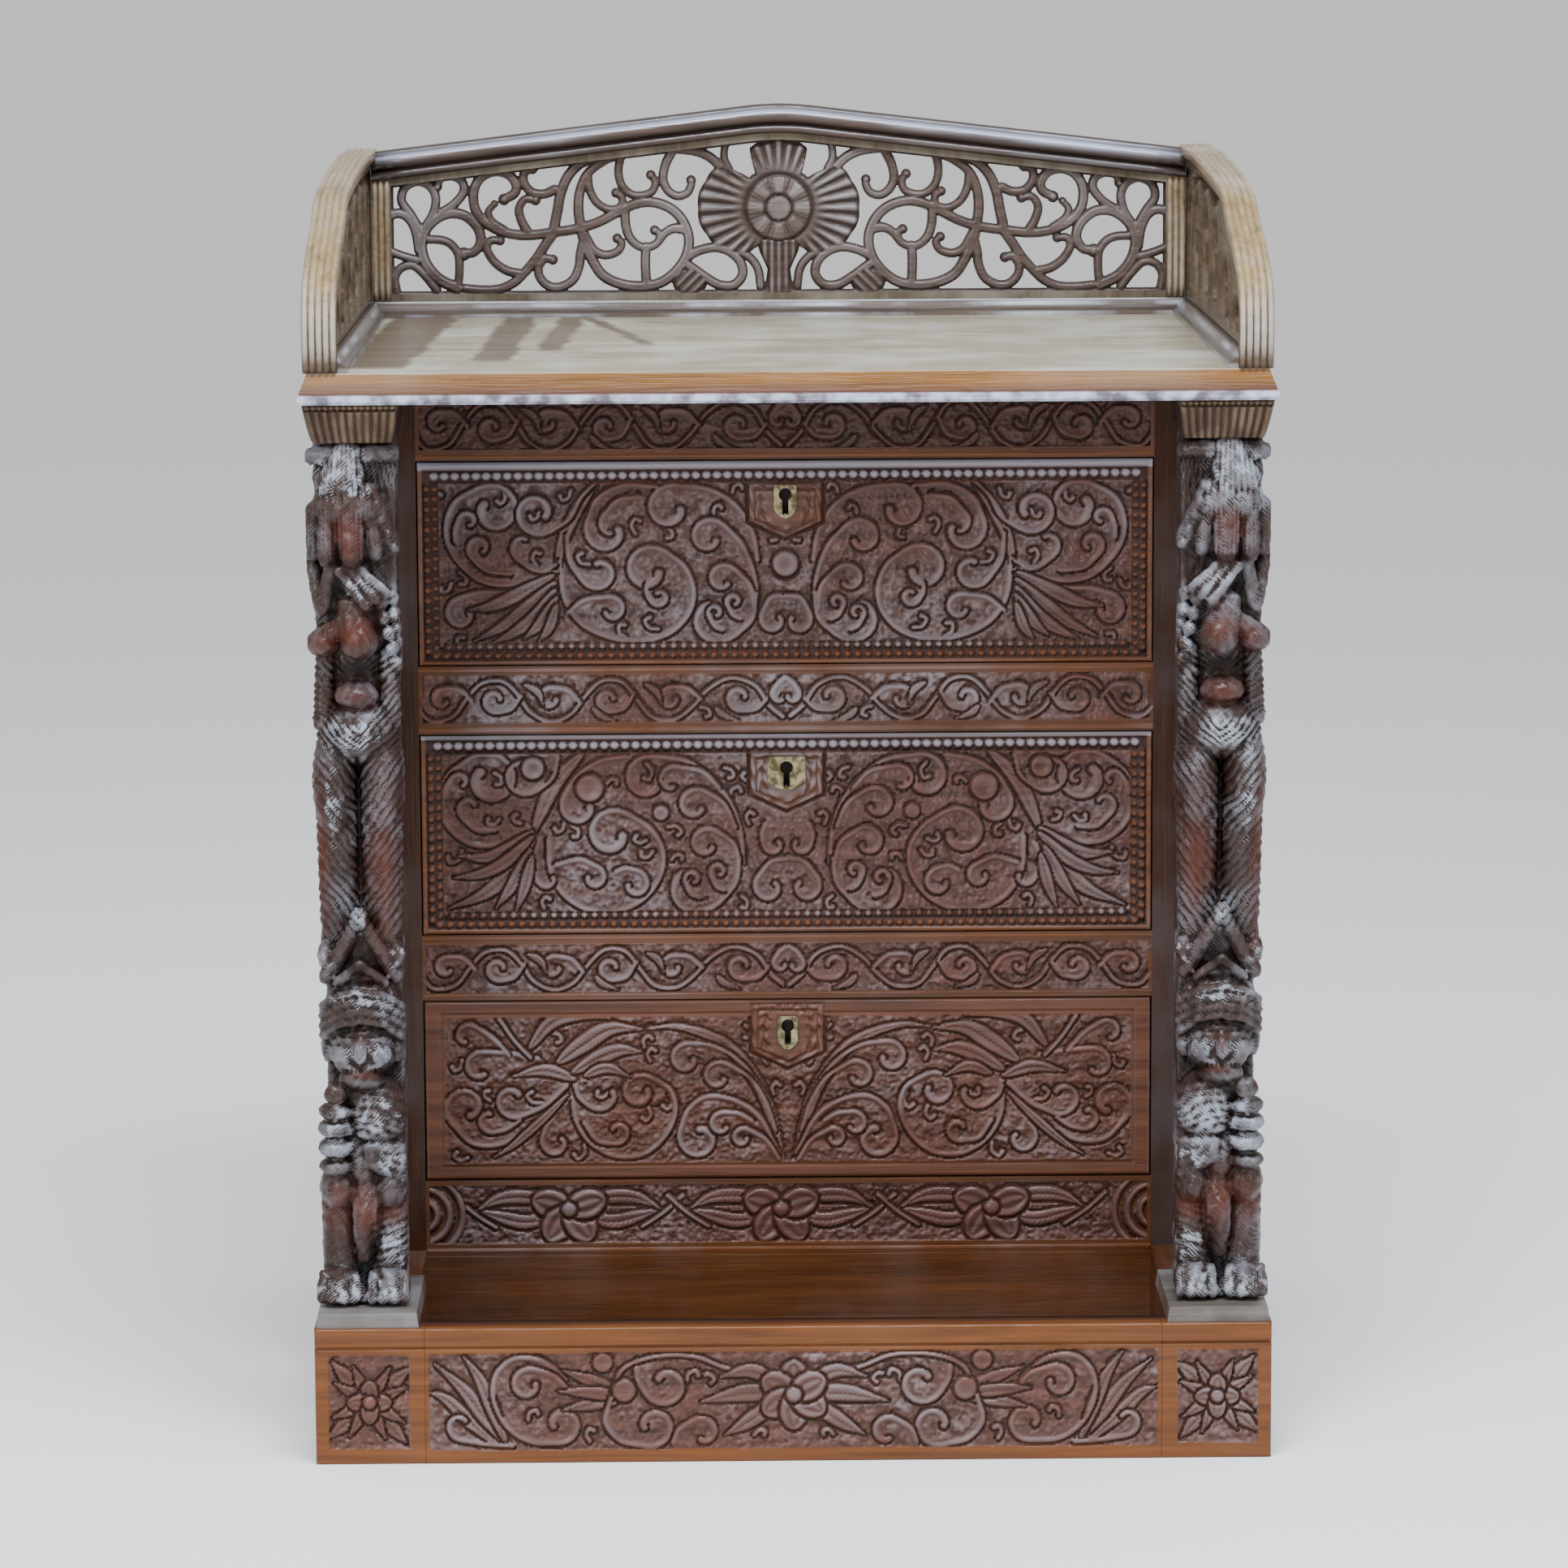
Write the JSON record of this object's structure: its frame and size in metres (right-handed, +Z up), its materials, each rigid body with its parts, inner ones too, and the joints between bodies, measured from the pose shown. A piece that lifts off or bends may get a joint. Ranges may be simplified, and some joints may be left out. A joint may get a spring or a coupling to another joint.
{
  "type": "table top chest of drawers",
  "caption": "Small carved hardwood chest of drawers with a pierced gallery round its top, lion columns under the overhang and a trough in its base.",
  "frame": {"origin": "middle of the width and depth, on the surface that the chest stands on", "axes": "+X to the right, +Y to the back, +Z up; the drawers open along -Y"},
  "size_m": [0.5, 0.42, 0.6854],
  "materials": {
    "top_wood": "worn wax, grey and pale with dark stains",
    "gallery_wood": "dark polish, rubbed pale on the edges",
    "case_wood": "warm brown polish",
    "inner_wood": "bare, dry wood",
    "carved_wood": "dark polish over carving, worn at the high points",
    "figure_wood": "dark glossy polish with grey highlights",
    "brass": "aged, dull brass",
    "steel": "worn iron"
  },
  "bodies": {
    "chest": {"table_top": "top_wood", "gallery_crest_rail": "gallery_wood", "gallery_back_frame": "gallery_wood", "gallery_fret": "gallery_wood", "gallery_side_left": "gallery_wood", "gallery_side_right": "gallery_wood", "gallery_foot_mouldings": "gallery_wood", "case_side_left": "case_wood", "case_side_right": "case_wood", "case_back": "inner_wood", "stile_left": "case_wood", "stile_right": "case_wood", "frieze_rail": "carved_wood", "upper_rail": "carved_wood", "lower_rail": "carved_wood", "floral_rail": "carved_wood", "runners_left": "inner_wood", "runners_right": "inner_wood", "base_front": "carved_wood", "corner_block_left": "carved_wood", "corner_block_right": "carved_wood", "base_side_left": "case_wood", "base_side_right": "case_wood", "base_back": "case_wood", "trough_back": "case_wood", "trough_floor": "inner_wood", "trough_side_left": "case_wood", "trough_side_right": "case_wood", "capital_left": "figure_wood", "capital_right": "figure_wood", "lion_left": "figure_wood", "lion_right": "figure_wood", "column_board_left": "case_wood", "column_board_right": "case_wood", "lion_plinths": "figure_wood"},
    "top_drawer": {"top_drawer_front": "carved_wood", "top_drawer_side_left": "inner_wood", "top_drawer_side_right": "inner_wood", "top_drawer_back": "inner_wood", "top_drawer_bottom": "inner_wood", "top_keyhole_plate": "brass", "top_lock_case": "brass"},
    "top_bolt": {"top_lock_bolt": "steel"},
    "middle_drawer": {"middle_drawer_front": "carved_wood", "middle_drawer_side_left": "inner_wood", "middle_drawer_side_right": "inner_wood", "middle_drawer_back": "inner_wood", "middle_drawer_bottom": "inner_wood", "middle_keyhole_plate": "brass", "middle_lock_case": "brass"},
    "middle_bolt": {"middle_lock_bolt": "steel"},
    "bottom_drawer": {"bottom_drawer_front": "carved_wood", "bottom_drawer_side_left": "inner_wood", "bottom_drawer_side_right": "inner_wood", "bottom_drawer_back": "inner_wood", "bottom_drawer_bottom": "inner_wood", "bottom_keyhole_plate": "brass", "bottom_lock_case": "brass"},
    "bottom_bolt": {"bottom_lock_bolt": "steel"}
  },
  "joints": [
    {"name": "top_drawer_slide", "type": "slide", "parent": "chest", "child": "top_drawer", "axis": [0, -1, 0], "range_m": [0, 0.15]},
    {"name": "top_bolt_slide", "type": "slide", "parent": "top_drawer", "child": "top_bolt", "axis": [0, 0, 1], "range_m": [0, 0.006]},
    {"name": "middle_drawer_slide", "type": "slide", "parent": "chest", "child": "middle_drawer", "axis": [0, -1, 0], "range_m": [0, 0.15]},
    {"name": "middle_bolt_slide", "type": "slide", "parent": "middle_drawer", "child": "middle_bolt", "axis": [0, 0, 1], "range_m": [0, 0.006]},
    {"name": "bottom_drawer_slide", "type": "slide", "parent": "chest", "child": "bottom_drawer", "axis": [0, -1, 0], "range_m": [0, 0.15]},
    {"name": "bottom_bolt_slide", "type": "slide", "parent": "bottom_drawer", "child": "bottom_bolt", "axis": [0, 0, 1], "range_m": [0, 0.006]}
  ]
}
